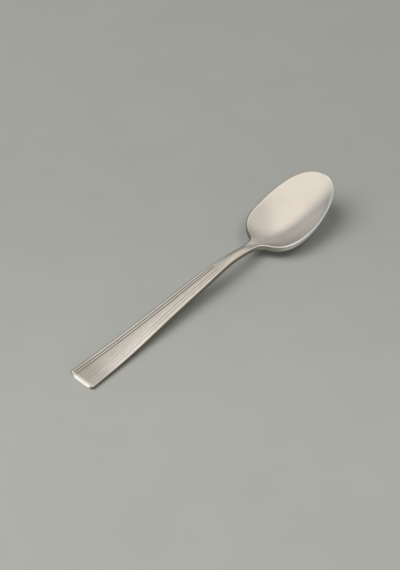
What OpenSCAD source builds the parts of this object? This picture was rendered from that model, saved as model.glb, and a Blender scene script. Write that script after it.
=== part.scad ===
// Teaspoon, stamped in one piece from a flat steel blank.
// X runs along the spoon towards the bowl, Y to its left and Z up.
// The origin lies under the middle of the spoon, on the table it rests on.
// The four nodes are the regions of the stamping. They meet face to face.

/* [Handle] */
// Length of the grooved handle, from its end to the plain neck
handle_l = 72; // [62:1:84]
// Length of the end region, where the handle lies flat on the table
handle_end_l = 14; // [8:1:20]
// Width of the handle at its end
handle_end_w = 12; // [10:0.1:14]
// Width of the handle where the neck begins
handle_neck_w = 5.6; // [5:0.1:7]
// Thickness of the handle's edge at its end
handle_end_t = 1.6; // [1.4:0.1:2.2]
// Thickness of the handle's edge where the neck begins
handle_neck_t = 2.3; // [1.9:0.1:3]
// Rise of the middle of the handle above its edges
handle_crown = 0.4; // [0.2:0.05:0.5]
// Rounding of the handle's upper edges
handle_round = 0.25; // [0.1:0.05:0.4]
// Rounding of the handle's lower edges
handle_back_round = 0.6; // [0.2:0.05:0.7]

/* [Handle end] */
// How far the middle of the end stands out beyond its corners
end_bow = 0.8; // [0.3:0.1:1.6]
// Rise of the middle of the end above its edges
end_crown = 0.15; // [0.05:0.05:0.3]
// Size of the bevel round the upper edge of the end
end_bevel = 0.6; // [0.3:0.1:0.8]

/* [Grooves] */
// Distance from the ends of the grooves to the neck
groove_stop = 2; // [0:1:20]
// Length over which the grooves run out
groove_fade_l = 8; // [4:1:14]
// Width of each groove
groove_w = 0.56; // [0.3:0.02:0.7]
// Depth of each groove
groove_d = 0.24; // [0.1:0.02:0.4]
// Distance of the outer groove's middle from the handle's edge
outer_groove_in = 1.25; // [0.9:0.05:1.5]
// Distance between the middles of the two grooves
groove_gap = 1.1; // [0.8:0.05:1.4]

/* [Neck] */
// Length of the plain neck, from the grooved handle to the bowl
neck_l = 18.5; // [14:0.5:26]
// Width of the neck at the bowl
neck_w = 4.2; // [3.6:0.1:5]
// Thickness of the neck at the bowl
neck_t = 2.6; // [2.2:0.1:3.2]
// Rise of the middle of the neck above its edges, at the bowl
neck_crown = 0.2; // [0.05:0.05:0.3]
// Rounding of the neck's upper edges
neck_round = 0.75; // [0.3:0.05:0.9]
// Rounding of the neck's lower edges
neck_back_round = 0.9; // [0.4:0.05:1]

/* [Bowl] */
// Length of the bowl, from the neck to the tip
bowl_l = 47.5; // [42:0.5:56]
// Largest width of the bowl
bowl_w = 27.2; // [24:0.2:32]
// Distance from the tip back to the widest place
bowl_front_l = 25.4; // [22:0.2:30]
// Distance from the widest place back to the shoulders
bowl_back_l = 15.4; // [12:0.2:18]
// Distance from the widest place back to the deepest place
bowl_deep_l = 3; // [0:0.2:5]
// Thickness of the bowl at its bottom
bowl_t = 1.2; // [0.8:0.1:1.6]
// Width of the rim, seen from above
rim_w = 0.6; // [0.5:0.05:1.2]
// Thickness of the rim at the shoulders, measured straight down
shoulder_t = 2.6; // [1.8:0.05:2.8]
// Thickness of the rim at the tip
rim_t = 1.2; // [0.9:0.05:1.4]
// Rounding of the rim's edges
rim_round = 0.4; // [0.2:0.05:0.42]

/* [Side view] */
// Height of the handle's crest above the table
crest_h = 8.3; // [7:0.1:12]
// Height of the rim at the shoulders, its lowest place
shoulder_h = 6.4; // [5.5:0.1:9]
// Height of the rim at the tip of the bowl
tip_h = 16.2; // [13:0.1:19]

/* [Hidden] */

neck_x = handle_l;
bowl_x = handle_l + neck_l;
overall_l = bowl_x + bowl_l;
widest_x = overall_l - bowl_front_l;
groove_l = handle_l - groove_stop;

// The outline of the bowl is a slightly squared oval
oval_power = 2.25;
oval_start_angle = 24;
deepest_x = widest_x - bowl_deep_l;

// Numbers of steps along each region
end_steps = 7;
bevel_steps = 3;
handle_steps = 26;
neck_steps = 12;
crotch_steps = 8;
back_steps = 10;
front_steps = 15;

// A smooth curve through control points, at the place x
function part_of(p, x) = max(concat([0], [for (i = [0 : len(p) - 2]) if (x >= p[i][0]) i]));
function slope_at(p, i) =
    let (a = max(i - 1, 0), b = min(i + 1, len(p) - 1))
    (p[b][1] - p[a][1]) / (p[b][0] - p[a][0]);
function curve(p, x) =
    let (
        i = part_of(p, x),
        run = p[i + 1][0] - p[i][0],
        s = (x - p[i][0]) / run
    )
    (1 + 2 * s) * pow(1 - s, 2) * p[i][1]
    + s * pow(1 - s, 2) * run * slope_at(p, i)
    + s * s * (3 - 2 * s) * p[i + 1][1]
    - s * s * (1 - s) * run * slope_at(p, i + 1);

// Rises smoothly from 0 at a to 1 at b
function ease(a, b, x) = let (s = min(max((x - a) / (b - a), 0), 1)) s * s * (3 - 2 * s);
function mix(a, b, share) = a + (b - a) * share;
function reversed(list) = [for (i = [len(list) - 1 : -1 : 0]) list[i]];

// Height of the upper edge above the table, from the handle's end to the bowl's tip
handle_x_shares = [0.22, 0.44, 0.66, 0.86];
handle_rise_shares = [0.13, 0.45, 0.79, 1];
rim_x_shares = [0.32, 0.5, 0.7, 0.87, 1];
rim_rise_shares = [0.1, 0.24, 0.53, 0.81, 1];
neck_drop_share = 0.55;
shoulder_share = 0.15;
edge_heights = concat(
    [[0, handle_end_t]],
    [for (i = [0 : len(handle_x_shares) - 1])
        [handle_x_shares[i] * bowl_x, mix(handle_end_t, crest_h, handle_rise_shares[i])]],
    [[bowl_x, mix(crest_h, shoulder_h, neck_drop_share)]],
    [[bowl_x + shoulder_share * bowl_l, shoulder_h]],
    [for (i = [0 : len(rim_x_shares) - 1])
        [bowl_x + rim_x_shares[i] * bowl_l, mix(shoulder_h, tip_h, rim_rise_shares[i])]]
);

// Half width of the handle and neck, which narrow in an almost straight taper
taper_x_shares = [0.28, 0.7];
taper_shares = [0.22, 0.69];
waist_x_share = 0.5;
waist_taper_share = 0.92;
handle_half_widths = concat(
    [[0, handle_end_w / 2]],
    [for (i = [0 : len(taper_x_shares) - 1])
        [taper_x_shares[i] * handle_l, mix(handle_end_w, handle_neck_w, taper_shares[i]) / 2]],
    [[handle_l, handle_neck_w / 2]],
    [[neck_x + waist_x_share * neck_l, mix(handle_neck_w, neck_w, waist_taper_share) / 2]],
    [[bowl_x, neck_w / 2]]
);

// Thickness of the edge, and roundings along the spoon
rim_start_x = bowl_x + shoulder_share * bowl_l;
rim_thinning_share = 0.45;
full_crown_share = 0.4;
crowns = [
    [0, end_crown],
    [full_crown_share * handle_l, handle_crown],
    [handle_l, mix(handle_crown, neck_crown, full_crown_share)],
    [bowl_x, neck_crown],
    [rim_start_x, 0],
    [overall_l, 0]
];
edge_thicknesses = [
    [0, handle_end_t],
    [handle_l, handle_neck_t],
    [bowl_x, neck_t - neck_crown],
    [rim_start_x, shoulder_t],
    [widest_x, mix(shoulder_t, rim_t, rim_thinning_share)],
    [overall_l, rim_t]
];
function from_neck(at_handle, at_neck, at_bowl, x) =
    mix(mix(at_handle, at_neck, ease(handle_l, bowl_x, x)), at_bowl, ease(bowl_x, rim_start_x, x));
function top_round(x) = from_neck(handle_round, neck_round, rim_round, x);
function back_round(x) = from_neck(handle_back_round, neck_back_round, rim_round, x);
function edge_z(x) = curve(edge_heights, x);
function edge_t(x) = curve(edge_thicknesses, x);

// Upper surface along the middle of the spoon, which dips into the bowl after the neck
function crown_at(x) = curve(crowns, x);
dip_power = 0.9;
function bowl_dip(x) = pow(ease(bowl_x, deepest_x, x), dip_power);
function middle_z(x) = mix(edge_z(min(x, rim_start_x)) + crown_at(x), bowl_t, bowl_dip(x));
function middle_t(x) =
    mix(edge_t(min(x, bowl_x)) + crown_at(x), bowl_t, ease(bowl_x, rim_start_x, x));

// Half outline of the bowl: a fillet from the neck, then the oval's back and front quarters
function oval(along_l, angle) = [
    widest_x + along_l * sign(cos(angle)) * pow(abs(cos(angle)), 2 / oval_power),
    bowl_w / 2 * pow(max(sin(angle), 0), 2 / oval_power)
];
start_angle = 180 - oval_start_angle;
fillet_end = oval(bowl_back_l, start_angle);
fillet_turn = oval(bowl_back_l, start_angle - 1) - fillet_end;
fillet_dir = fillet_turn / norm(fillet_turn);
neck_pull_share = 0.62;
bowl_pull_share = 0.42;
fillet_start = [bowl_x, neck_w / 2];
fillet_reach = norm(fillet_end - fillet_start);
fillet_a = fillet_start + [neck_pull_share * fillet_reach, 0];
fillet_b = fillet_end - bowl_pull_share * fillet_reach * fillet_dir;
function fillet(s) =
    pow(1 - s, 3) * fillet_start + 3 * s * pow(1 - s, 2) * fillet_a
    + 3 * s * s * (1 - s) * fillet_b + pow(s, 3) * fillet_end;

// Each station is an outline point and the place on the middle line that its rib starts from.
// Ribs stand square to the handle and fan out round the bowl.
fan_start_share = 0.68;
fan_turn_share = 0.72;
fan_x = mix(bowl_x, deepest_x, fan_start_share);
fan_steps = crotch_steps + back_steps;
rib_feet = [
    [-1, bowl_x - neck_l / neck_steps],
    [0, bowl_x],
    [crotch_steps, fan_x],
    [fan_steps, mix(fan_x, deepest_x, fan_turn_share)],
    [fan_steps + front_steps / 2, deepest_x],
    [fan_steps + front_steps, deepest_x]
];
pole_station = fan_steps + ceil(front_steps / 2);
function rib_foot(i) = i >= pole_station ? deepest_x : min(curve(rib_feet, i), deepest_x);
bowl_outline = concat(
    [for (i = [0 : crotch_steps - 1]) fillet(i / crotch_steps)],
    [for (i = [0 : back_steps - 1]) oval(bowl_back_l, mix(start_angle, 90, i / back_steps))],
    [for (i = [0 : front_steps]) oval(bowl_front_l, 90 * (1 - i / front_steps))]
);
bowl_stations = [
    for (i = [0 : len(bowl_outline) - 1]) [bowl_outline[i].x, bowl_outline[i].y, rib_foot(i)]
];
function straight_stations(a, b, steps) = [
    for (i = [0 : steps])
        let (x = mix(a, b, i / steps))
        [x, curve(handle_half_widths, x), x]
];

// Distances from the edge to the points of a section, with the two grooves on the handle
spread_shares = [0.3, 0.55, 0.8, 1];
bowl_shares = [0.05, 0.14, 0.25, 0.37, 0.5, 0.63, 0.76, 0.88, 1];
inner_groove_in = outer_groove_in + groove_gap;
groove_places = [
    outer_groove_in - groove_w / 2, outer_groove_in, outer_groove_in + groove_w / 2,
    inner_groove_in - groove_w / 2, inner_groove_in, inner_groove_in + groove_w / 2
];
// On a narrow handle the grooves draw in, with the inner one's middle within this share of the way
groove_room_share = 0.63;
function handle_spread(reach, round) =
    let (fit = min(1, groove_room_share * reach / groove_places[4]))
    concat(
        [round],
        [for (place = groove_places) place * fit],
        [for (share = spread_shares) mix(groove_places[5] * fit, reach, share)]
    );
rim_room_share = 0.15;
function bowl_spread(reach, round) =
    let (rim = max(min(rim_w, reach / 2), mix(round, reach, rim_room_share)))
    concat([round, rim], [for (share = bowl_shares) mix(rim, reach, share)]);
function spread(x, reach, round) =
    let (share = ease(handle_l - groove_fade_l, bowl_x, x))
    handle_spread(reach, round) * (1 - share) + bowl_spread(reach, round) * share;
function groove_at(x, k) =
    (k == 2 || k == 5) ? groove_d * (1 - ease(groove_l - groove_fade_l, groove_l, x)) : 0;

// One rib: points from the middle of the back, round the edge, to the middle of the top
round_angles = [0, 30, 60];
low_inset_share = 0.5;
top_round_share = 0.42;
back_round_share = 0.5;
rib_points = 11;
hollow_power = 1.6;
back_power = 1.8;
bottom_round_share = 0.25;
// Rises from 0 at the middle to 1 at the rim, with a rounded bottom and nearly straight walls
function rise(share, power, soft) =
    (pow(share * share + soft * soft, power / 2) - pow(soft, power))
    / (pow(1 + soft * soft, power / 2) - pow(soft, power));
function rib_xyz(station, d, z) =
    let (reach = norm([station.x - station[2], station.y]))
    [mix(station.x, station[2], d / reach), station.y * (1 - d / reach), z];
function rib(station, inset = 0) =
    let (
        x = station.x,
        foot = station[2],
        reach = norm([x - foot, station.y]),
        wall = edge_t(x) - inset - low_inset_share * inset,
        upper = min(top_round(x), top_round_share * wall),
        lower = min(back_round(x), back_round_share * wall),
        top_z = edge_z(x) - inset,
        low_z = top_z - wall,
        mid_z = middle_z(foot) - inset,
        mid_low_z = middle_z(foot) - middle_t(foot) + low_inset_share * inset,
        bowl_part = ease(handle_l, rim_start_x, x),
        top_power = mix(2, hollow_power, bowl_part),
        low_power = mix(2, back_power, bowl_part),
        soft = bottom_round_share * bowl_part,
        flat = max(rim_w * bowl_part, upper),
        d = spread(x, reach, upper)
    )
    concat(
        [for (k = [rib_points - 1 : -1 : 0])
            let (
                at = mix(lower, reach, (d[k] - upper) / (reach - upper)),
                out = max(reach - at, 0) / (reach - lower)
            )
            rib_xyz(station, at + inset * (reach - at) / reach,
                mix(mid_low_z, low_z, rise(out, low_power, soft)))],
        [for (a = reversed(round_angles))
            rib_xyz(station, lower * (1 - cos(a)) + inset, low_z + lower * (1 - sin(a)))],
        [for (a = round_angles)
            rib_xyz(station, upper * (1 - cos(a)) + inset, top_z - upper * (1 - sin(a)))],
        [for (k = [0 : rib_points - 1])
            let (out = min(max(reach - d[k], 0) / (reach - flat), 1))
            rib_xyz(station, d[k] + inset * (reach - d[k]) / reach,
                mix(mid_z, top_z, rise(out, top_power, soft)) - groove_at(x, k))]
    );
half = 2 * rib_points + 2 * len(round_angles) - 1;
ring_n = 2 * half;

// A closed ring is a rib on the left and its mirror image on the right
function mirrored(p) = [p.x, -p.y, p.z];
function ring(r) = concat(r, [for (j = [half - 1 : -1 : 1]) mirrored(r[j])]);
// The lower edge of the end bulges in an arc, and its upper edge runs straight across
function bowed(r, amount, half_w) =
    let (low = min([for (p = r) p.z]), high = max([for (p = r) p.z]))
    [for (p = r)
        let (height_share = (p.z - low) / (high - low))
        [p.x + amount * mix(pow(p.y / half_w, 2), 1, height_share), p.y, p.z]];

// Faces of a loft through rings of points, closed by a strip across each open end
function strip(a, b, n) = [
    for (j = [0 : n - 1])
        let (k = (j + 1) % n)
        for (f = [[a(j), b(k), a(k)], [a(j), b(j), b(k)]]) f
];
function on_side(j, left) = left ? j : (ring_n - j) % ring_n;
function cap(start, flip) = [
    for (left = [true, false])
        for (j = [0 : (half - 3) / 2])
            let (
                p = start + on_side(j, left),
                q = start + on_side(j + 1, left),
                r = start + on_side(half - j - 1, left),
                s = start + on_side(half - j, left)
            )
            for (f = flip == left ? [[p, q, r], [p, r, s]] : [[p, r, q], [p, s, r]]) f
];

module loft(rings) {
    last = len(rings) - 1;
    polyhedron(
        points = [for (r = rings) for (p = r) p],
        faces = concat(
            cap(0, true),
            [for (i = [0 : last - 1])
                for (f = strip(function(j) i * ring_n + j, function(j) (i + 1) * ring_n + j, ring_n)) f],
            cap(last * ring_n, false)
        ),
        convexity = 6
    );
}

// The bowl's loft ends in one rib along the tip, shared by both sides, and its ribs share a pole
module bowl_loft(ribs) {
    last = len(ribs) - 1;
    function at(i, j) =
        let (
            m = i == last && j > half ? ring_n - j : j,
            at_middle = m == 0 || m == half,
            row = at_middle ? min(i, pole_station) : i
        )
        row * ring_n + m;
    faces = [
        for (i = [0 : last - 1])
            for (f = strip(function(j) at(i, j), function(j) at(i + 1, j), ring_n))
                if (f[0] != f[1] && f[1] != f[2] && f[0] != f[2]) f
    ];
    polyhedron(
        points = [for (r = ribs) for (p = ring(r)) p],
        faces = concat(cap(0, true), faces),
        convexity = 8
    );
}

module in_frame() {
    translate([-overall_l / 2, 0, 0]) children();
}

module bowl() {
    color("gainsboro") in_frame() bowl_loft([for (s = bowl_stations) rib(s)]);
}

module neck() {
    stations = straight_stations(neck_x, bowl_x, neck_steps);
    color("silver") in_frame() loft([for (s = stations) ring(rib(s))]);
}

module handle() {
    stations = straight_stations(handle_end_l, neck_x, handle_steps);
    color("darkgray") in_frame() loft([for (s = stations) ring(rib(s))]);
}

module handle_end() {
    half_w = handle_end_w / 2;
    bevel_rings = [
        for (i = [0 : bevel_steps - 1])
            let (
                a = 90 * i / bevel_steps,
                x = end_bevel * (1 - cos(a)),
                inset = end_bevel * (1 - sin(a))
            )
            bowed(ring(rib([x, half_w, x], inset)), end_bow, half_w)
    ];
    body_rings = [
        for (s = straight_stations(end_bevel, handle_end_l, end_steps))
            let (amount = end_bow * pow(1 - (s.x - end_bevel) / (handle_end_l - end_bevel), 2))
            bowed(ring(rib(s)), amount, half_w)
    ];
    color("lightgray") in_frame() loft(concat(bevel_rings, body_rings));
}

bowl();
neck();
handle();
handle_end();
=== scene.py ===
# %% [markdown]
# # A stamped steel teaspoon
#
# A teaspoon starts as a flat blank of steel. A rolling mill thins it, two dies press it to shape, and its
# rim is then ground and polished. So it is one piece of metal with one smooth skin. This lesson draws that
# skin as a single grid of points, worked out with numpy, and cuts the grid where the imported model's nodes
# meet. The cut faces lie against each other inside the steel, so the light runs over the joins unbroken.

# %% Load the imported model
import math

import bpy
import numpy as np
from mathutils import Matrix, Vector


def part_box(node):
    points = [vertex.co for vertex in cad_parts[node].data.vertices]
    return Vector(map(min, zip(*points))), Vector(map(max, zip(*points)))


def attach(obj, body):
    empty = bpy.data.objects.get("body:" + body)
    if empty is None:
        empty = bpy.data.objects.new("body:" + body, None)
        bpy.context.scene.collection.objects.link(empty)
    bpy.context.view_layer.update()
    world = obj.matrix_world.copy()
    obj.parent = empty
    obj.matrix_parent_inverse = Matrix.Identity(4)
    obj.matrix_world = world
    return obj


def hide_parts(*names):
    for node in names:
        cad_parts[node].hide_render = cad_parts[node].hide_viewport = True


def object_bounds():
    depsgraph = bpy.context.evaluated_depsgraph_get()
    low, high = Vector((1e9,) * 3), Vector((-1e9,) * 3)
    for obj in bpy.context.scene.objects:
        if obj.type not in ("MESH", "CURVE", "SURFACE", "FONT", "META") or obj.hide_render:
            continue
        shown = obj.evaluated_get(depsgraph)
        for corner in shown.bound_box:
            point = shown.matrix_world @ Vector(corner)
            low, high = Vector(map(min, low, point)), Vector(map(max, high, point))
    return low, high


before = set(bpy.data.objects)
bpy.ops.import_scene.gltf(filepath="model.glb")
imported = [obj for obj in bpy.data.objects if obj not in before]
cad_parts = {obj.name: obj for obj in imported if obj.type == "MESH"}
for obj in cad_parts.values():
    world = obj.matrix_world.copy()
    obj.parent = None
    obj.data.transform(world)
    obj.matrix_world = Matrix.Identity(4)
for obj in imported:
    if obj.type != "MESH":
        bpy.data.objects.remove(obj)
MM = 0.001
cad_low, cad_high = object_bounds()
print("packed nodes:", sorted(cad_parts))

# %% [markdown]
# ## Where the photographer stood
#
# The spoon lies across the picture, seen from above its handle's end at about 44 degrees. A long lens keeps
# the outline almost free of perspective. Blender's camera looks along its own -Z, so its turn is built
# from three directions: right, up and back. The lens follows from the picture's width in pixels, because
# a focal length counted in pixels is the same share of the width as the lens is of the sensor.

# %% Camera
camera_tilt = math.radians(44.144)
camera_turn = math.radians(46.444)
camera_far = 637.2 * MM
aim = Vector((-1.0, 3.74, 0)) * MM
picture_w, focal_px, sensor_w = 400, 1624.9, 36.0

right = Vector((math.cos(camera_turn), -math.sin(camera_turn), 0))
ahead = Vector((math.sin(camera_turn), math.cos(camera_turn), 0))
back = Vector((0, 0, math.sin(camera_tilt))) - ahead * math.cos(camera_tilt)
up = back.cross(right)
camera_data = bpy.data.cameras.new("camera")
camera_data.sensor_fit = "HORIZONTAL"
camera_data.sensor_width = sensor_w
camera_data.lens = focal_px / picture_w * sensor_w
camera_data.clip_start = 10 * MM
camera = bpy.data.objects.new("camera", camera_data)
bpy.context.scene.collection.objects.link(camera)
axes = Matrix((right, up, back)).transposed().to_4x4()
camera.matrix_world = Matrix.Translation(aim + back * camera_far) @ axes
bpy.context.scene.camera = camera
print("lens:", round(camera_data.lens, 1), "mm")

# %% [markdown]
# ## Writing shader maths as sums
#
# A material is a web of small nodes. Wiring each by hand hides the idea behind it, so this small class
# wraps one output socket and lets it be added, multiplied and so on. Each sum adds its own Math node.
# Every other kind of node comes from one method, which sets its options first and then its sockets.

# %% A socket that can do sums
class Wire:
    """One output socket in a node tree. A sum with it adds a Math node and returns that node's output."""

    def __init__(self, tree, socket):
        self.tree, self.socket = tree, socket

    def node(self, kind, settings=None, inputs=None, output=0):
        """Adds a node of this kind, sets its options, then gives its sockets values or links."""
        made = self.tree.nodes.new(kind)
        for name, value in (settings or {}).items():
            setattr(made, name, value)
        for name, value in (inputs or {}).items():
            if isinstance(value, Wire):
                self.tree.links.new(value.socket, made.inputs[name])
            else:
                made.inputs[name].default_value = value
        return Wire(self.tree, made.outputs[output]) if made.outputs else None

    def math(self, operation, first, second):
        """Adds a Math node."""
        return self.node("ShaderNodeMath", {"operation": operation}, {0: first, 1: second})

    def __add__(self, other):
        return self.math("ADD", self, other)

    def __sub__(self, other):
        return self.math("SUBTRACT", self, other)

    def __rsub__(self, other):
        return self.math("SUBTRACT", other, self)

    def __mul__(self, other):
        return self.math("MULTIPLY", self, other)

    __radd__ = __add__
    __rmul__ = __mul__

    def between(self, low, high, to_low=0.0, to_high=1.0):
        """Goes smoothly from to_low to to_high while this value goes from low to high."""
        settings = {"interpolation_type": "SMOOTHSTEP"}
        inputs = {"Value": self, "From Min": low, "From Max": high, "To Min": to_low, "To Max": to_high}
        return self.node("ShaderNodeMapRange", settings, inputs)

    def tint(self, under, over):
        """Lays one colour over another. This value is the share of the upper one."""
        under, over = (c if isinstance(c, Wire) else (*c, 1) for c in (under, over))
        return self.node("ShaderNodeMix", {"data_type": "RGBA"}, {0: self, 6: under, 7: over}, 2)

    def stretched(self, x, y, z):
        """Divides a position by three lengths, one along each axis."""
        inputs = {0: self, 1: (1 / x, 1 / y, 1 / z)}
        return self.node("ShaderNodeVectorMath", {"operation": "MULTIPLY"}, inputs)

    def along(self, direction):
        """How far a position or direction reaches along another direction: their dot product."""
        inputs = {0: self, 1: tuple(direction)}
        return self.node("ShaderNodeVectorMath", {"operation": "DOT_PRODUCT"}, inputs, "Value")

    def part(self, axis):
        """One of a position's three numbers: X, Y or Z."""
        return self.node("ShaderNodeSeparateXYZ", None, {0: self}, axis)

    def noise(self, detail, rough=0.5):
        """Cloudy noise at this position, whose clouds are about one unit wide."""
        inputs = {"Vector": self, "Scale": 1.0, "Detail": detail, "Roughness": rough}
        return self.node("ShaderNodeTexNoise", None, inputs)


def start_tree(tree, kind, output):
    """Empties a node tree and returns a Wire of a fresh input node's output."""
    tree.nodes.clear()
    return Wire(tree, tree.nodes.new(kind).outputs[output])


print("wires ready")

# %% [markdown]
# ## A plain table
#
# The table is matt and pale, a grey with a touch of green. It is painted a little lighter towards the
# viewer, a painted fall of light. A wide flat mesh is enough. Its colour drifts slowly with the place as
# this painted light, and two noises darken it by a trace: fine fibres of about a millimetre, and faint
# stains as wide as a coin.

# %% Table
table_w = 4.0
table_near, table_far = (0.404, 0.426, 0.414), (0.346, 0.368, 0.361)
drift_start, drift_stop = -110 * MM, 90 * MM
fibre_colour = (0.22, 0.235, 0.22)
fibre_size, stain_size = 1.1 * MM, 25 * MM
fibre_share, stain_share, shade_share = 0.6, 0.4, 0.14

table_mesh = bpy.data.meshes.new("table")
edge = table_w / 2
corners = [(-edge, -edge, 0), (edge, -edge, 0), (edge, edge, 0), (-edge, edge, 0)]
table_mesh.from_pydata(corners, [], [(0, 1, 2, 3)])
table = bpy.data.objects.new("table", table_mesh)
bpy.context.scene.collection.objects.link(table)

paper = bpy.data.materials.new("paper")
paper.use_nodes = True
place = start_tree(paper.node_tree, "ShaderNodeTexCoord", "Object")
# Painted light: the table's colour gets lighter towards the viewer, as a lamp's fall-off would make it.
painted_falloff = place.along(ahead).between(drift_start, drift_stop)
fibres = place.stretched(fibre_size, fibre_size, fibre_size).noise(3, 0.7)
stains = place.stretched(stain_size, stain_size, stain_size).noise(2)
shade = fibre_share * fibres.between(0.3, 0.7) + stain_share * stains.between(0.3, 0.7)
colour = (shade_share * shade).tint(painted_falloff.tint(table_near, table_far), fibre_colour)
inputs = {"Base Color": colour, "Roughness": 0.9, "Specular IOR Level": 0.2}
surface = place.node("ShaderNodeBsdfPrincipled", None, inputs)
place.node("ShaderNodeOutputMaterial", None, {"Surface": surface})
table_mesh.materials.append(paper)
print("table:", table_w, "m wide")

# %% [markdown]
# ## Light
#
# Polished steel has hardly any colour of its own: it shows what surrounds it. The photograph was lit by a
# bright, warm, very wide light on the viewer's side, and behind the spoon the room was greyer. The world
# here is that room: a warm dome with three soft round patches. The grey one stands low behind the spoon,
# and its soft edge makes the diagonal shade in the bowl. One at the viewer's right is a little dimmer than
# the dome, and a white one at the left is mirrored by the handle's end face. A dark band along the table's
# far edge gives the rounded edges of the steel their thin dark lines.
#
# As a light for the table this dome would be too bright and cast no shadow. So it is dimmed for all rays
# that leave a matt surface, and mirror rays see it in full.

# %% The room that the steel mirrors
world = bpy.data.worlds.new("room")
bpy.context.scene.world = world
world.use_nodes = True
cream = (1.15, 1.035, 0.90)
grey = (0.50, 0.50, 0.472)
dim_cream = (0.80, 0.73, 0.655)
window_white = (1.26, 1.22, 1.15)
far_dark = (0.10, 0.095, 0.08)
matt_dimming = 0.77

# Each patch has a turn and a tilt in degrees, the cosines at its rim and its middle, and a colour.
room_patches = [
    (-40, 10, 0.3, 1.0, dim_cream),
    (160, 5, 0.8, 0.97, window_white),
    (50, 6, 0.22, 0.97, grey),
]


def towards(turn, tilt):
    """The direction, one long, at this turn from +X and this tilt above the table, in degrees."""
    turn, tilt = math.radians(turn), math.radians(tilt)
    return math.cos(turn) * math.cos(tilt), math.sin(turn) * math.cos(tilt), math.sin(tilt)


def patch(direction, turn, tilt, rim, middle):
    """A soft round patch of the room: 0 where the cosine to its middle is below rim, and 1 above middle."""
    return direction.along(towards(turn, tilt)).between(rim, middle)


direction = start_tree(world.node_tree, "ShaderNodeTexCoord", "Generated")
colour = cream
for *where, light in room_patches:
    colour = patch(direction, *where).tint(colour, light)
# The band fades out upwards, where the height of a direction one long goes from 0.07 to 0.2.
band = patch(direction, turn=60, tilt=0, rim=0.1, middle=0.5)
band = band * direction.part("Z").between(0.07, 0.2, 1, 0)
colour = band.tint(colour, far_dark)
diffuse = direction.node("ShaderNodeLightPath", None, None, "Is Diffuse Ray")
inputs = {"Color": colour, "Strength": 1 - matt_dimming * diffuse}
room = direction.node("ShaderNodeBackground", None, inputs)
direction.node("ShaderNodeOutputWorld", None, {"Surface": room})
print("patches in the room:", len(room_patches))

# %% [markdown]
# ## Lamps for the table
#
# Two wide lamps stand for the windows that light the table. The large one, high up at the viewer's left,
# casts the soft shadow on the right of the spoon. The small one at the right makes that shadow paler. Both
# are hidden from mirror rays, so the steel shows only the room, and table and steel can be set apart.

# %% Two lamps for the table
lamp_colour = (1.0, 0.97, 0.92)


def soft_lamp(name, turn, tilt, size, power):
    """A square lamp one metre from the spoon that lights the table and isn't mirrored in the steel."""
    data = bpy.data.lights.new(name, "AREA")
    data.size, data.energy, data.color = size, power, lamp_colour
    lamp = bpy.data.objects.new(name, data)
    bpy.context.scene.collection.objects.link(lamp)
    lamp.location = Vector(towards(turn, tilt))
    lamp.rotation_euler = lamp.location.to_track_quat("Z", "Y").to_euler()
    lamp.visible_glossy = False


soft_lamp("main_lamp", turn=140, tilt=63, size=0.82, power=8.25)
soft_lamp("fill_lamp", turn=-60, tilt=62, size=0.35, power=2.0)
bpy.context.scene.view_settings.view_transform = "Standard"
print("lamps:", [light.name for light in bpy.data.lights])

# %% [markdown]
# ## Two tools for smooth shapes
#
# Reflections show every kink, so a polished shape needs curves whose bend changes without a jump. A
# draughtsman bends a thin batten round pegs for this. The same curve is a natural cubic spline, and numpy
# finds it with one set of linear equations. A share that rises smoothly from 0 to 1 blends one form into
# another, with no jump in slope or bend at either end.

# %% Batten, smooth share and mix
def batten(pegs, x):
    """The curve of a batten bent round pegs, at x. It is a cubic between two pegs, and at each peg the
    slopes and bends of both sides match. The equations give the bends at the pegs."""
    peg_x, peg_y = np.array(pegs, float).T
    gap, count = np.diff(peg_x), len(peg_x)
    slope = np.diff(peg_y) / gap
    system, target = np.eye(count), np.zeros(count)
    inner = np.arange(1, count - 1)
    system[inner, inner - 1] = gap[:-1]
    system[inner, inner] = 2 * (gap[:-1] + gap[1:])
    system[inner, inner + 1] = gap[1:]
    target[inner] = 6 * np.diff(slope)
    bend = np.linalg.solve(system, target)
    k = np.clip(np.searchsorted(peg_x, x) - 1, 0, count - 2)
    a, b, g = peg_x[k + 1] - x, x - peg_x[k], gap[k]
    ends = (peg_y[k] / g - bend[k] * g / 6) * a + (peg_y[k + 1] / g - bend[k + 1] * g / 6) * b
    return ends + (bend[k] * a**3 + bend[k + 1] * b**3) / (6 * g)


def smooth(a, b, x):
    """Rises from 0 at a to 1 at b, with no slope and no bend at either end. With s as the share of the way,
    it is s cubed times the sum of 10, -15 s and 6 s squared."""
    s = np.clip((x - a) / (b - a), 0, 1)
    return s**3 * (10 - 15 * s + 6 * s**2)


def mix(a, b, share):
    """Goes from a to b as share goes from 0 to 1: a plus that share of the difference."""
    return a + (b - a) * share


print("halfway up a smooth share:", smooth(0, 1, 0.5))

# %% [markdown]
# ## Sizes
#
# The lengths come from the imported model, whose nodes end where the handle's end, the handle, the neck and
# the bowl meet. The others are the spoon's own sizes, in millimetres. x counts from the handle's end. In
# the names, _l is a length, _w a width, _t a thickness, _h a height and _d a depth.

# %% Sizes in millimetres
start_x = cad_low.x / MM
handle_end_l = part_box("handle_end")[1].x / MM - start_x
handle_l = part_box("handle")[1].x / MM - start_x
bowl_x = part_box("neck")[1].x / MM - start_x
overall_l = cad_high.x / MM - start_x
bowl_l = overall_l - bowl_x
bowl_w = 2 * cad_high.y / MM
tip_h = cad_high.z / MM

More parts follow.
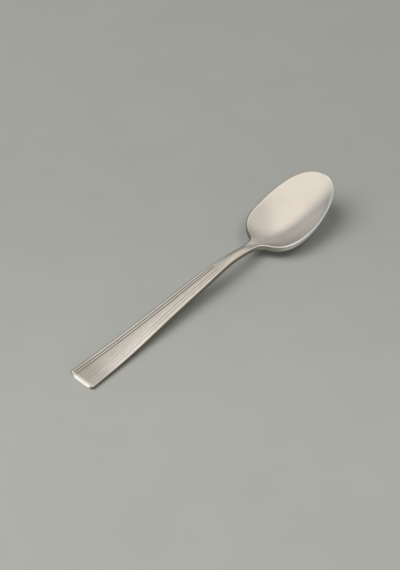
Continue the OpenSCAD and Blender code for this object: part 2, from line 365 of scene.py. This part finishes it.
handle_end_w, handle_neck_w, neck_w = 12.0, 5.6, 4.2
handle_end_t, handle_neck_t, neck_t = 1.6, 2.3, 2.6
end_crown, handle_crown, neck_crown = 0.15, 0.4, 0.2
handle_round, handle_back_round = 0.25, 0.6
neck_round, neck_back_round = 0.75, 0.9
end_bow, end_bevel, corner_round = 0.8, 0.45, 0.4
groove_l, groove_fade_l, groove_w, groove_d = handle_l + 4.0, 8.0, 0.66, 0.09
outer_groove_in, groove_gap, groove_room_share = 1.55, 1.15, 0.7
bowl_front_l, bowl_back_l = 25.4, 15.4
bowl_t, rim_w, shoulder_t, rim_t, rim_round = 1.2, 0.6, 2.6, 1.2, 0.4
crest_h, shoulder_h = 8.3, 6.4
widest_x = overall_l - bowl_front_l
deepest_x = widest_x - 3.0
shoulder_x = bowl_x + 0.15 * bowl_l
print("length:", round(overall_l, 1), "mm, bowl:", round(bowl_l, 1), "x", round(bowl_w, 1), "mm")

# %% [markdown]
# ## The outline
#
# Seen from above, the handle tapers to a waist, and a small fillet turns it into the bowl, which is a
# slightly squared oval with its widest place nearer the neck. One batten runs round half of it: its pegs
# are points of the taper, the fillet and the oval, and it goes on round the tip so that the tip is round.
# On the taper the pegs are given as shares of the handle's length and of the change in width.

# %% Outline
oval_power = 2.25
shoulder_angle = math.radians(156)
small_turn = 0.02
fillet_pull, shoulder_pull = 0.62, 0.42
walk_steps = 20001


def oval(along_l, angle):
    """A point of the oval: its half length and half width, times the angle's cosine and sine to the power
    2 / oval_power. The power 2 would give an ellipse, and a higher one squares it."""
    c, s = np.cos(angle), np.sin(angle)
    x = widest_x + along_l * np.sign(c) * np.abs(c) ** (2 / oval_power)
    return np.stack([x, bowl_w / 2 * np.sign(s) * np.abs(s) ** (2 / oval_power)], -1)


def fillet(share):
    """A curve that leaves the neck straight ahead and reaches the oval along the oval (a cubic Bezier)."""
    first, last = np.array([bowl_x, neck_w / 2]), oval(bowl_back_l, shoulder_angle)
    onward = oval(bowl_back_l, shoulder_angle - small_turn) - last
    reach = np.linalg.norm(last - first)
    pull_a = first + [fillet_pull * reach, 0]
    pull_b = last - shoulder_pull * reach * onward / np.linalg.norm(onward)
    s = share[:, None]
    return (1 - s) ** 3 * first + 3 * s * (1 - s) ** 2 * pull_a + 3 * s**2 * (1 - s) * pull_b + s**3 * last


taper = np.array([
    [0, handle_end_w / 2],
    [0.28 * handle_l, mix(handle_end_w, handle_neck_w, 0.22) / 2],
    [0.7 * handle_l, mix(handle_end_w, handle_neck_w, 0.69) / 2],
    [handle_l, handle_neck_w / 2],
    [(handle_l + bowl_x) / 2, mix(handle_neck_w, neck_w, 0.92) / 2],
    [bowl_x, neck_w / 2],
])
fillet_pegs = fillet(np.array([0.25, 0.5, 0.72, 0.88]))
back_pegs = oval(bowl_back_l, np.radians([156, 140, 120, 90]))
front_pegs = oval(bowl_front_l, np.radians([66, 44, 24, 9, 0, -9, -24]))
outline_pegs = np.concatenate([taper, fillet_pegs, back_pegs, front_pegs])
peg_place = np.r_[0, np.cumsum(np.linalg.norm(np.diff(outline_pegs, axis=0), axis=1))]


def outline(place):
    """x and half width of the outline, at a distance along it from the handle's end."""
    x = batten(np.c_[peg_place, outline_pegs[:, 0]], place)
    return x, batten(np.c_[peg_place, outline_pegs[:, 1]], place)


walk = np.linspace(0, peg_place[-1], walk_steps)
walk_x, walk_y = outline(walk)
past_widest = slice(walk_y.argmax(), None)
tip_place = np.interp(0, -walk_y[past_widest], walk[past_widest])
print("half outline:", round(tip_place, 1), "mm round, tip at", round(float(outline(tip_place)[0]), 2))

# %% [markdown]
# ## The side view
#
# The handle rises from the table to a crest, dips to the bowl's shoulders, and the rim climbs again to the
# tip. Two battens hold this: one for the edge all along, and one for the line down the middle, which leaves
# the crest and dives into the hollow. A third gives the crown of the handle. Most pegs are pairs of shares,
# the first of a length and the second of the climb or fall over that length.

# %% Heights along the spoon
crest_share = 0.86
climb_shares = [(0.22, 0.13), (0.44, 0.45), (0.66, 0.79), (crest_share, 1)]
rim_shares = [(0.32, 0.1), (0.5, 0.24), (0.7, 0.53), (0.87, 0.81), (1, 1)]
dive_shares = [(0.2, 0.13), (0.4, 0.39), (0.6, 0.68), (0.8, 0.91), (1, 1)]
past_deepest = 0.2
hollow_power, back_power, bottom_round = 1.6, 1.8, 0.25
edge_pegs = np.array([
    [0, handle_end_t],
    *[[a * bowl_x, mix(handle_end_t, crest_h, b)] for a, b in climb_shares],
    [bowl_x, mix(crest_h, shoulder_h, 0.55)],
    [shoulder_x, shoulder_h],
    *[[bowl_x + a * bowl_l, mix(shoulder_h, tip_h, b)] for a, b in rim_shares],
])


def rise(share, power, soft):
    """Goes from 0 at the middle to 1 at the rim: round at the bottom, nearly straight in the walls. It is
    the share squared, plus soft squared, to half the power, moved and scaled to run from 0 to 1."""
    low = soft**power
    return ((share**2 + soft**2) ** (power / 2) - low) / ((1 + soft**2) ** (power / 2) - low)


def edge_z(x):
    """Height of the upper edge."""
    return batten(edge_pegs, x)


def crown(x):
    """How far the middle of the handle and neck stands above the edges."""
    last_crown = mix(handle_crown, neck_crown, 0.4)
    pegs = [[0, end_crown], [0.4 * handle_l, handle_crown], [handle_l, last_crown], [bowl_x, neck_crown]]
    return batten(pegs, x)


handle_x = np.array([0, *[a for a, _ in climb_shares], 1]) * bowl_x
dive = [(bowl_x + a * (deepest_x - bowl_x), b) for a, b in dive_shares]
climb_start = mix(bowl_t, tip_h, rise(past_deepest, hollow_power, bottom_round))
middle_pegs = np.array([
    *np.c_[handle_x, edge_z(handle_x) + crown(handle_x)],
    *[[x, mix(edge_z(min(x, shoulder_x)), bowl_t, b)] for x, b in dive],
    [deepest_x + past_deepest * (overall_l - deepest_x), climb_start],
])


def middle_z(x):
    """Height of the upper surface along the middle."""
    return batten(middle_pegs, x)


crest_z, shoulder_z = edge_z(crest_share * bowl_x), edge_z(shoulder_x)
print("crest:", round(float(crest_z), 2), "shoulder:", round(float(shoulder_z), 2))

# %% [markdown]
# ## Thickness and roundings
#
# The rolling mill leaves the neck thickest, because it carries the load, and the bowl's sheet thinnest. The
# edge has a batten of its own, and the middle follows it along the handle. The roundings of the edge go
# from their size on the handle to those of the neck and the rim by smooth shares.

# %% Thicknesses and roundings along the spoon
def edge_t(x):
    """Thickness of the edge."""
    widest_t = mix(shoulder_t, rim_t, 0.45)
    pegs = [[0, handle_end_t], [handle_l, handle_neck_t], [bowl_x, neck_t - neck_crown]]
    return batten([*pegs, [shoulder_x, shoulder_t], [widest_x, widest_t], [overall_l, rim_t]], x)


def middle_t(x):
    """Thickness along the middle: the edge's and the crown's together, and in the bowl the sheet's."""
    before_bowl = np.minimum(x, bowl_x)
    return mix(edge_t(before_bowl) + crown(before_bowl), bowl_t, smooth(bowl_x, shoulder_x, x))


def change(at_handle, at_neck, at_bowl, x):
    """A size that changes from the handle to the neck and from the neck to the bowl."""
    return mix(mix(at_handle, at_neck, smooth(handle_l, bowl_x, x)), at_bowl, smooth(bowl_x, shoulder_x, x))


print("thickness of the neck and of the hollow:", np.round(middle_t(np.array([bowl_x, deepest_x])), 2))

# %% [markdown]
# ## Ribs
#
# A boat builder sets ribs along a keel. Here each rib is half a section of the spoon: it starts under the
# middle, runs out along the back, turns round the edge and comes back over the top. On the handle a rib
# stands square to the middle line. In the bowl the ribs fan out, and all those round the front start from
# one point, the deepest place. The grooves are dips in the height of the top, at set distances in from the
# edge. All ribs are worked out at once: each is a row, and its points are the columns.

# %% Distances across a rib
land_steps, groove_steps, panel_steps, rim_steps, arc_steps = 4, 12, 18, 7, 8
hollow_steps = 2 * (land_steps + groove_steps) + panel_steps - rim_steps
least_rim_share = 0.15
arc = np.radians(np.linspace(0, 90, arc_steps, endpoint=False))


def column(values):
    """One value for each rib, as a column that counts for all of the rib's points."""
    return values[:, None]


def stretch(a, b, steps):
    """Rows of evenly spaced values from a to just before b, one row for each rib."""
    return np.linspace(a, b, steps, endpoint=False, axis=-1)


def groove_places(reach):
    """Distances of the two grooves' middles from the edge, drawn in where the handle is narrow."""
    inner = np.minimum(outer_groove_in + groove_gap, groove_room_share * reach)
    return inner * outer_groove_in / (outer_groove_in + groove_gap), inner


def spread(x, reach, upper):
    """Distances from the edge at which a rib has points: close in the grooves, and even in the bowl."""
    outer, inner = groove_places(reach)
    half = groove_w / 2
    stops = [upper, outer - half, outer + half, inner - half, inner + half, reach]
    counts = [land_steps, groove_steps, land_steps, groove_steps, panel_steps]
    handle = [stretch(a, b, n) for a, b, n in zip(stops, stops[1:], counts)]
    rim = np.maximum(np.minimum(rim_w, reach / 2), mix(upper, reach, least_rim_share))
    bowl = [stretch(upper, rim, rim_steps), stretch(rim, reach, hollow_steps)]
    share = column(smooth(groove_l - groove_fade_l, bowl_x, x))
    rows = mix(np.concatenate(handle, 1), np.concatenate(bowl, 1), share)
    return np.c_[rows, reach]


def groove_dip(d, reach):
    """How far down the grooves a point is: 1 along a groove's middle, and 0 past its sides. Each groove is
    one arch of a cosine squared."""
    half_turns = [np.clip((d - column(place)) / groove_w, -0.5, 0.5) for place in groove_places(reach)]
    return sum(np.cos(share * np.pi) ** 2 for share in half_turns)


print("points across the top of a rib:", 2 * (land_steps + groove_steps) + panel_steps + 1)

# %% [markdown]
# ## Marks for the steel
#
# Film, painted shade and painted highlights follow the shape: old polish stays in a groove, shade is
# painted into the grooves and on the sides of the edge, and highlights are painted on what stands out. The
# ribs know where a groove, an edge or a rim is, so they give each point of the skin four masks, which the
# steel reads later. That keeps the colours in place when a size of the spoon changes.

# %% Masks for the steel
def skin_masks(d, reach, groove_left, dip, in_bowl):
    """Four values between 0 and 1 at each point of the ribs. groove is 1 at the bottom of a groove, wall on
    the side of the edge, land on the flat between the edge and the grooves, and rim on the top's rounding.
    The masks fade over tenths of a millimetre, so that no line is sharper than the skin's points."""
    inner_place = column(groove_places(reach)[1])
    handle_land = groove_left * (1 - smooth(inner_place + 0.1, inner_place + 0.6, d))
    outside = mix(handle_land, 1 - smooth(0.3, 0.7, d), in_bowl)
    count, top_n = d.shape
    back, top_arc = np.zeros((count, top_n + arc_steps)), np.ones((count, arc_steps))
    into_wall, out_of_wall = [0.3, 0.7], [1, 1, 1, 0.8, 0.2]
    flat_back = np.zeros(top_n - len(into_wall))
    flat_top = np.zeros(top_n + arc_steps - len(out_of_wall))
    wall = np.r_[flat_back, into_wall, np.ones(arc_steps), out_of_wall, flat_top]
    return {
        "groove": np.c_[back, 0 * top_arc, dip * groove_left],
        "wall": np.tile(wall, (count, 1)),
        "land": np.c_[back, top_arc, outside],
        "rim": np.c_[back, top_arc, 1 - smooth(0.1, 0.5, d)],
    }


print("points round the edge of a rib:", 2 * arc_steps)

# %% [markdown]
# ## Heights along a rib
#
# The top of a rib falls or climbs from the edge to the middle line, and the back does the same below it. On
# the handle both are low arches. In the bowl they are round at the bottom and nearly straight in the walls,
# as a die presses them. A short parabola leads from the hollow to the flat rim, since a hard corner there
# would show as a line. Two quarter circles go round the edge.

# %% Climbs, an eased corner and quarter circles
def climb(d, reach, flat, power, bottom):
    """Share of the way from the middle's height to the edge's, by the rise formula: 0 at the middle, and 1
    where the distance from the edge is flat."""
    out = np.maximum(column(reach) - d, 0) / column(reach - flat)
    return rise(out, column(power), column(bottom))


def eased(value, soft):
    """The larger of value and 0, with the corner rounded by a parabola from -soft to soft: the square of
    value plus soft, over four times soft."""
    return np.where(value > soft, value, np.clip(value + soft, 0, None) ** 2 / (4 * soft))


def quarter(radius, z, way_in):
    """Distances from the edge and heights round a quarter circle. It starts upright on the edge and ends
    level at height z. way_in is 1 at the back and -1 at the top."""
    return column(radius) * (1 - np.cos(arc)), column(z) + way_in * column(radius) * (1 - np.sin(arc))


print("halfway out, the hollow has made", round(rise(0.5, hollow_power, bottom_round), 2), "of its climb")

# %% [markdown]
# ## One half section
#
# Now the parts join into ribs: the back from the middle out, its quarter circle, that of the top, and the
# top back to the middle. No quarter circle may take more than its share of the edge's thickness, or the
# back and the top would cross. For the bevel of the handle's end a whole section is drawn in, by the full
# amount at the top and by half of it at the back, as a grinding wheel leaves it.

# %% Ribs from the back, round the edge, to the top
upper_room, lower_room = 0.42, 0.5
back_bevel = 0.5
hollow_soft, hair = 0.12, 1e-6


def ribs(x, half_w, foot, inset):
    """Points of half sections, and the masks there. Each rib starts at foot on the middle line and reaches
    the edge at x and half_w. inset is how far the bevel draws a section in."""
    reach = np.hypot(x - foot, half_w)
    wall = edge_t(x) - (1 + back_bevel) * inset
    upper = np.minimum(change(handle_round, neck_round, rim_round, x), upper_room * wall)
    lower = np.minimum(change(handle_back_round, neck_back_round, rim_round, x), lower_room * wall)
    top_z, mid_z = edge_z(x) - inset, middle_z(foot) - inset
    low_z, mid_low_z = top_z - wall, middle_z(foot) - middle_t(foot) + back_bevel * inset
    in_bowl = smooth(handle_l, shoulder_x, x)
    bottom = bottom_round * in_bowl

    d = spread(x, reach, upper)
    flat = np.maximum(rim_w * in_bowl, upper)
    left_to_go = 1 - climb(d, reach, flat, mix(2, hollow_power, in_bowl), bottom)
    # hair keeps the division in eased from being by zero on the handle, where no corner is eased.
    fall = np.clip(eased(left_to_go, column(hollow_soft * in_bowl + hair)), 0, 1)
    groove_left = 1 - smooth(groove_l - groove_fade_l, groove_l, x)
    dip = groove_dip(d, reach)
    top = mix(column(top_z), column(mid_z), fall) - column(groove_d * groove_left) * dip

    back_d = mix(column(lower), column(reach), (d - column(upper)) / column(reach - upper))
    back_climb = climb(back_d, reach, lower, mix(2, back_power, in_bowl), bottom)
    under = mix(column(mid_low_z), column(low_z), back_climb)

    low_arc_d, low_arc_z = quarter(lower, low_z, 1)
    top_arc_d, top_arc_z = quarter(upper, top_z, -1)
    all_d = np.c_[back_d[:, ::-1], low_arc_d[:, ::-1], top_arc_d, d]
    all_z = np.c_[under[:, ::-1], low_arc_z[:, ::-1], top_arc_z, top]
    all_d = all_d + column(inset) * (column(reach) - all_d) / column(reach)
    share = all_d / column(reach)
    points = np.stack([mix(column(x), column(foot), share), column(half_w) * (1 - share), all_z], -1)
    return points, skin_masks(d, reach, column(groove_left), dip, column(in_bowl))


print("bevel:", end_bevel, "mm at the top and", round(back_bevel * end_bevel, 3), "mm at the back")

# %% [markdown]
# ## The whole skin
#
# The ribs are placed along the outline, close enough to be smooth, and a rib falls exactly where two packed
# nodes meet. A rib and its mirror image make a closed ring. The end of the handle has a few extra rings,
# each drawn in a little more, for its bevel. Its corners are rounded as seen from above, and its lower edge
# is bowed outwards in an arc that stays full almost to the corners.

# %% Rings from the handle's end to the tip
bevel_rings, end_rings, handle_rings, neck_rings, bowl_rings = 8, 40, 150, 56, 150
fan_l, bow_power = 22, 4


def place_of(x):
    """Distance along the outline at which it reaches x, on the handle and neck."""
    near = walk < peg_place[len(taper)]
    return np.interp(x, walk_x[near], walk[near])


cuts = [place_of(end_bevel), place_of(handle_end_l), place_of(handle_l), place_of(bowl_x), tip_place]
runs = zip(cuts, cuts[1:], [end_rings, handle_rings, neck_rings, bowl_rings])
places = np.concatenate([*[np.linspace(a, b, n, endpoint=False) for a, b, n in runs], [tip_place]])
ring_x, ring_w = outline(places)
ring_w = np.minimum(ring_w, bowl_w / 2)
ring_w[-1] = 0
turn = np.radians(np.linspace(0, 90, bevel_rings, endpoint=False))
ring_x = np.r_[end_bevel * (1 - np.cos(turn)), ring_x]
ring_w = np.r_[np.full(bevel_rings, handle_end_w / 2), ring_w]
ring_w -= corner_round * (1 - np.sqrt(1 - np.clip(1 - ring_x / corner_round, 0, 1) ** 2))
inset = np.r_[end_bevel * (1 - np.sin(turn)), np.zeros(len(places))]
fan = np.r_[np.zeros(bevel_rings), smooth(place_of(bowl_x), place_of(bowl_x) + fan_l, places)]
foot = mix(ring_x, deepest_x, fan)
left, left_masks = ribs(ring_x, ring_w, foot, inset)
left[..., 2] = np.clip(left[..., 2], 0, tip_h)

bow = end_bow * np.clip(1 - (ring_x - end_bevel) / (handle_end_l - end_bevel), 0, 1) ** 2
bow[:bevel_rings] = end_bow
low, high = left[..., 2].min(1), left[..., 2].max(1)
up_share = (left[..., 2] - column(low)) / column(high - low)
left[..., 0] += column(bow) * mix((left[..., 1] / (handle_end_w / 2)) ** bow_power, 1, up_share)
mirror = left[:, -2:0:-1] * [1, -1, 1]
rings = np.concatenate([left, mirror], 1)
ring_masks = {name: np.c_[mask, mask[:, -2:0:-1]] for name, mask in left_masks.items()}
print("rings:", len(rings), "points in each:", rings.shape[1])

# %% [markdown]
# ## Closing the skin and cutting it
#
# The grid's quads become triangles, and points that lie in one place are welded, which closes the tip and
# the pole at the bottom of the bowl. Smooth normals come from the whole skin before it is cut, so the light
# doesn't show the cuts. Each end of a piece is closed by strips from its back to its top.

# %% Weld, triangles and normals
weld_digits, tiny = 4, 1e-12
count, ring_n = rings.shape[:2]
half_n = left.shape[1]
flat_points = rings.reshape(-1, 3)
_, first, welded = np.unique(
    np.round(flat_points, weld_digits), axis=0, return_index=True, return_inverse=True
)
welded = welded.reshape(count, ring_n)
points = flat_points[first]
masks = {name: mask.reshape(-1)[first] for name, mask in ring_masks.items()}


def strip(a, b):
    """Two triangles for each step along two rows of point numbers, turned to face outwards."""
    quads = np.stack([a[:-1], a[1:], b[1:], b[:-1]], -1)
    return np.concatenate([quads[:, [0, 1, 2]], quads[:, [0, 2, 3]]])


def normals_of(triangles):
    """Normals at the points: the sum of the cross products of the triangles round each, made one long."""
    a, b, c = points[triangles].transpose(1, 0, 2)
    cross = np.cross(b - a, c - a)
    total = np.zeros_like(points)
    for corner in range(3):
        np.add.at(total, triangles[:, corner], cross)
    return total / np.maximum(np.linalg.norm(total, axis=1, keepdims=True), tiny)


def kept(triangles):
    """Drops the triangles that welding has closed to a line."""
    a, b, c = triangles.T
    return triangles[(a != b) & (b != c) & (a != c)]


loop = np.c_[welded, welded[:, :1]]
side = [kept(strip(loop[i], loop[i + 1])) for i in range(count - 1)]
skin_normals = normals_of(np.concatenate(side))


def cap(ring):
    """Closes a ring: on each side, strips from the points of its back to those of its top."""
    middle = half_n // 2
    left_half, right_half = ring[:half_n], np.r_[ring[:1], ring[: half_n - 2 : -1]]
    left_cap, right_cap = (strip(half[:middle], half[::-1][:middle]) for half in (left_half, right_half))
    return np.concatenate([left_cap, right_cap[:, [0, 2, 1]]])


print("welded points:", len(points))

# %% [markdown]
# ## Film, painted shade and painted highlights
#
# Old polish stays in the grooves as a thin brown film, and painted shade darkens them further, most on the
# left, which is what makes them readable. Painted shade darkens the ground sides of the edge, and a painted
# reflection lightens them at the bowl's right rim. Painted shade also darkens the right side of the hollow.
# The lands outside the grooves and the rim carry painted highlights. The light fell differently on the two
# long sides, so left and right have colours of their own, seen from the handle's end, and blend across the
# middle. The end face itself stays clean.

# %% Colours of steel, film, painted shade and painted highlights
mask_names = ["groove", "wall", "land", "rim"]
satin_colour = (0.80, 0.78, 0.76)
neck_colour = (0.69, 0.662, 0.628)
polished_colour = (0.665, 0.665, 0.66)
# Painted shade: a darker, bluer grey on the right side of the bowl's hollow.
right_hollow_shade_colour = (0.585, 0.605, 0.615)
# Painted highlights: bright colours for the lands and the rim, different on the left and the right.
left_land_highlight = (0.96, 0.94, 0.915)
right_land_highlight = (0.87, 0.88, 0.90)
right_dim_highlight = (0.69, 0.70, 0.695)
right_rim_highlight = (0.87, 0.93, 1.0)
# The groove colour: old polish as a film, and painted shade in the hollow of the groove.
groove_film_and_shade = (0.13, 0.11, 0.09)
# Painted shade: a dark line along the left rounding of the top.
left_rim_shade = (0.18, 0.165, 0.13)
# Painted shade on the sides of the edge; the same colour also darkens the brushed streaks.
streak_and_shade_colour = (0.27, 0.25, 0.205)
# Painted shade, paler, on the sides of the edge at the bowl's right shoulder.
shoulder_wall_shade = (0.46, 0.43, 0.375)
# Painted reflection: the right side of the edge made bright where the rim is bright.
wall_reflection_colour = (0.84, 0.85, 0.86)
# The groove colour is partly film and partly painted shade.
film_share = groove_film_and_shade[0] / satin_colour[0]
print("the film in the grooves is", round(film_share, 2), "times as bright as the satin steel")

# %% [markdown]
# ## Where a look comes or goes
#
# Film, painted shade and painted highlights don't begin at a line. Each comes or goes over a stretch of the
# spoon.
# A stretch is a pair of places: millimetres from the handle's end along the spoon, or millimetres from the
# middle across it. The first centimetre gets painted shade, the painted highlight on the right land weakens
# at the waist, and the rim has a painted highlight on the right that fades a little at the tip.

# %% Stretches of the spoon
end_face_x, end_shade_x = (0.75, 0.95), (5, 15)
neck_tone_x, satin_end_x = (34, bowl_x), (handle_l - 18, bowl_x)
right_dim_x, waist_x = (28, 42), (56, 70)
polish_x, bowl_start_x = (bowl_x - 2, bowl_x + 7), (bowl_x, bowl_x + 6)
right_hollow_x, bright_rim_x = (bowl_x + 4, bowl_x + 10), (bowl_x + 8, bowl_x + 14)
tip_x = (overall_l - 10, overall_l - 1)
middle_y, right_wall_y = (-2.5, 1.5), (-9, -5)
end_shade_share, waist_dimming, tip_fade = 0.36, 0.7, 0.45
# The grooves on the left get extra darkening as painted shade.
right_film, more_shade_left = 0.15, 0.8


def over_x(x, limits, *values):
    """Goes from 0 to 1, or between two given values, over a stretch along the spoon."""
    first, last = limits
    return x.between((first + start_x) * MM, (last + start_x) * MM, *values)


def over_y(y, limits):
    """Goes from 0 to 1 over a stretch across the spoon."""
    first, last = limits
    return y.between(first * MM, last * MM)


def read_mask(place, name):
    """A mask that is stored at the points of the skin."""
    return place.node("ShaderNodeAttribute", {"attribute_name": name}, None, "Fac")


print("the satin finish fades from", round(satin_end_x[0], 1), "to", round(satin_end_x[1], 1), "mm")

# %% [markdown]
# ## Layers of colour
#
# A painter would lay film, shade and highlights over the bare steel as thin glazes, and the material does
# the same:
# each step lays one colour over what is there, by a mask. First comes the steel, from the satin handle to
# the polished bowl, with painted shade on the right of the hollow, then the painted highlights, then the
# film and the painted shade, and last the painted shade and reflection on the sides of the edge.

# %% The colour of used steel
def steel_colour(place):
    """Base colours laid over one another: first the steel, then the painted highlights, then the film and
    the painted shade.
    """
    x, y = place.part("X"), place.part("Y")
    film, wall, land, rim = (read_mask(place, name) for name in mask_names)
    left_side = over_y(y, middle_y)
    right_side = 1 - left_side
    past_end = over_x(x, end_face_x)
    film = film.between(0.02, 0.34) * (right_film + more_shade_left * left_side) * past_end
    wall = wall * (1 - left_side * (1 - past_end))
    in_bowl = over_x(x, bowl_start_x)
    # Painted highlight along the right rim, fading a little towards the tip.
    bright = over_x(x, bright_rim_x) * over_x(x, tip_x, 1, tip_fade)

    # The steel itself, from the satin handle to the polished bowl.
    colour = over_x(x, neck_tone_x).tint(satin_colour, neck_colour)
    colour = over_x(x, polish_x).tint(colour, polished_colour)
    # A painted shade darkens the right side of the hollow.
    right_hollow_shading = over_x(x, right_hollow_x) * (1 - over_y(y, right_wall_y))
    colour = right_hollow_shading.tint(colour, right_hollow_shade_colour)

    # Painted highlights on the lands and the rim, with other colours left and right. On the right the
    # highlight fades at the waist.
    right_highlight = over_x(x, right_dim_x).tint(right_land_highlight, right_dim_highlight)
    right_share = 1 - waist_dimming * over_x(x, waist_x) + waist_dimming * bright
    colour = (land * right_side * right_share).tint(colour, bright.tint(right_highlight, right_rim_highlight))
    colour = (land * left_side * (1 - in_bowl)).tint(colour, left_land_highlight)

    # The film in the grooves, darker on the left as painted shade, then painted shade over the first
    # centimetre, on the left rounding and on the ground sides.
    colour = film.tint(colour, groove_film_and_shade)
    # Painted shade over the first centimetre of the handle.
    end_shade = past_end - over_x(x, end_shade_x)
    colour = (end_shade_share * end_shade).tint(colour, streak_and_shade_colour)
    # Painted shade on the left rounding.
    colour = (rim * left_side * past_end).tint(colour, left_rim_shade)
    # Painted shade on the sides of the edge, paler at the bowl's right, and a painted reflection where the
    # right rim is bright.
    painted_wall_colour = (in_bowl * right_side).tint(streak_and_shade_colour, shoulder_wall_shade)
    painted_wall_colour = (bright * right_side).tint(painted_wall_colour, wall_reflection_colour)
    return wall.tint(colour, painted_wall_colour)


print("masks that the steel reads:", mask_names)

# %% [markdown]
# ## Steel
#
# Both finishes are the same steel, and only the last treatment differs. The handle is satin: fine lines
# brushed along it, which blur what it mirrors. The bowl is polished, and use has dulled it a little. The
# finish changes along the neck, so both materials read the same place in object coordinates and agree
# where they meet. The lines come from noise that is stretched along the handle, and they change the
# colour, the roughness and, as a shallow bump, the normal.

# %% Steel materials
line_l, line_w, cloud_w = 18 * MM, 0.3 * MM, 7 * MM
streak_dark, cloud_dark = 0.17, 0.06
base_rough, cloud_rough, line_rough, satin_rough = 0.21, 0.04, 0.05, -0.02
swirl_relief, bump_strength, bump_depth = 0.12, 0.12, 0.02 * MM


def steel(name):
    """Satin on the handle, and polished in the bowl."""
    material = bpy.data.materials.new(name)
    material.use_nodes = True
    place = start_tree(material.node_tree, "ShaderNodeTexCoord", "Object")
    satin = 1 - over_x(place.part("X"), satin_end_x)
    lines = place.stretched(line_l, line_w, line_w).noise(2)
    clouds = place.stretched(cloud_w, cloud_w, cloud_w).noise(3)
    swirl = place.stretched(0.5 * MM, 0.8 * MM, 0.5 * MM).noise(2)
    dark = satin * lines.between(0.3, 0.75, 0, streak_dark) + clouds.between(0.4, 0.8, 0, cloud_dark)
    colour = dark.tint(steel_colour(place), streak_and_shade_colour)
    roughness = base_rough + cloud_rough * clouds + satin * (line_rough * lines + satin_rough)
    relief = satin * lines + swirl_relief * swirl
    inputs = {"Strength": bump_strength, "Distance": bump_depth, "Height": relief}
    bump = place.node("ShaderNodeBump", None, inputs)
    inputs = {"Base Color": colour, "Metallic": 1.0, "Roughness": roughness, "Normal": bump}
    surface = place.node("ShaderNodeBsdfPrincipled", None, inputs)
    place.node("ShaderNodeOutputMaterial", None, {"Surface": surface})
    return material


steels = {slot: steel(slot) for slot in ["satin_steel", "polished_steel"]}
print("materials:", sorted(steels))

# %% [markdown]
# ## The four pieces
#
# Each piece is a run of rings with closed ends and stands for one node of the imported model. All four ride
# on the root body, since the spoon is one rigid piece of steel. The normals are set corner by corner: those
# of the whole skin on the outside, and each end's own on the faces that close it.

# %% A piece from a run of rings
def piece(name, node, slot, first_ring, last_ring):
    """A closed mesh from a run of rings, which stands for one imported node."""
    triangles = [np.concatenate(side[first_ring:last_ring])]
    corner_normals = [skin_normals[triangles[0]]]
    ends = [cap(welded[first_ring])[:, ::-1]]
    if last_ring < count - 1:
        ends.append(cap(welded[last_ring]))
    for end in ends:
        triangles.append(kept(end))
        corner_normals.append(normals_of(triangles[-1])[triangles[-1]])
    triangles = np.concatenate(triangles)
    used, local = np.unique(triangles, return_inverse=True)
    mesh = bpy.data.meshes.new(name)
    mesh.from_pydata((points[used] + [start_x, 0, 0]) * MM, [], local.reshape(-1, 3))
    mesh.polygons.foreach_set("use_smooth", np.ones(len(triangles), bool))
    mesh.normals_split_custom_set(np.concatenate(corner_normals).reshape(-1, 3))
    for title in mask_names:
        attribute = mesh.attributes.new(title, "FLOAT", "POINT")
        attribute.data.foreach_set("value", masks[title][used].astype(np.float32))
    mesh.materials.append(steels[slot])
    made = bpy.data.objects.new(name, mesh)
    bpy.context.scene.collection.objects.link(made)
    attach(made, "root")
    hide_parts(node)
    a, b, c = points[triangles].transpose(1, 0, 2)
    volume = np.einsum("ij,ij->", a, np.cross(b, c)) / 6
    print(name, len(triangles), "triangles,", round(volume, 1), "cubic mm")


ring_stops = np.cumsum([0, bevel_rings + end_rings, handle_rings, neck_rings, bowl_rings])
plan = [
    ("steel_handle_end", "handle_end", "satin_steel"),
    ("steel_handle", "handle", "satin_steel"),
    ("steel_neck", "neck", "polished_steel"),
    ("steel_bowl", "bowl", "polished_steel"),
]
for (name, node, slot), first_ring, last_ring in zip(plan, ring_stops, ring_stops[1:]):
    piece(name, node, slot, first_ring, last_ring)
